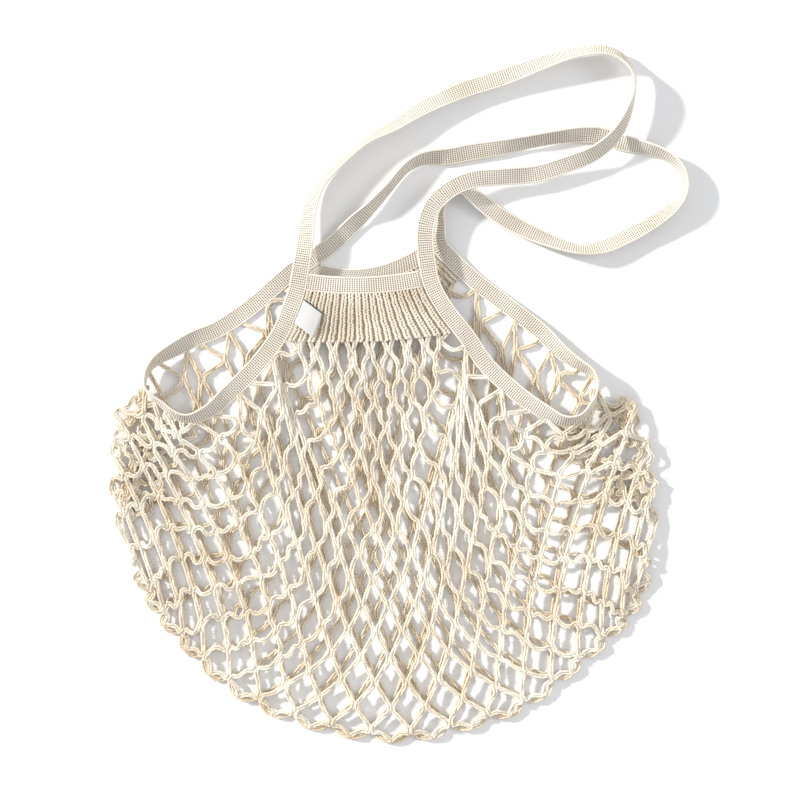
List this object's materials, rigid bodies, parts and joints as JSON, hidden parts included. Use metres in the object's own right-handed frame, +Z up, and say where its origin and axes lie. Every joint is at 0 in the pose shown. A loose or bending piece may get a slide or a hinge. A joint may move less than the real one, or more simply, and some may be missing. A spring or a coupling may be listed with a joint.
{
  "type": "string shopping bag",
  "caption": "Knitted cotton string bag lying flat, with a ribbed mouth, taped side openings and loose carrying straps.",
  "frame": {"origin": "under the middle of the bag's outline, on the surface that it lies on", "axes": "+X to the viewer's right, +Y from the net's bottom to the mouth and the straps, +Z up off the surface, out of the bag's front"},
  "size_m": [0.4348, 0.5214, 0.0211],
  "materials": {
    "net": "matte knitted cotton cord",
    "rib": "matte knitted cotton rib",
    "tape": "matte open-woven cotton tape",
    "label": "smooth bare woven label"
  },
  "bodies": {
    "root": {"net_body": "net", "front_rib_yoke": "rib", "back_rib_yoke": "rib", "front_top_band": "tape", "back_top_band": "tape", "left_binding": "tape", "right_binding": "tape", "front_handle": "tape", "back_handle": "tape", "label": "label"}
  },
  "joints": []
}
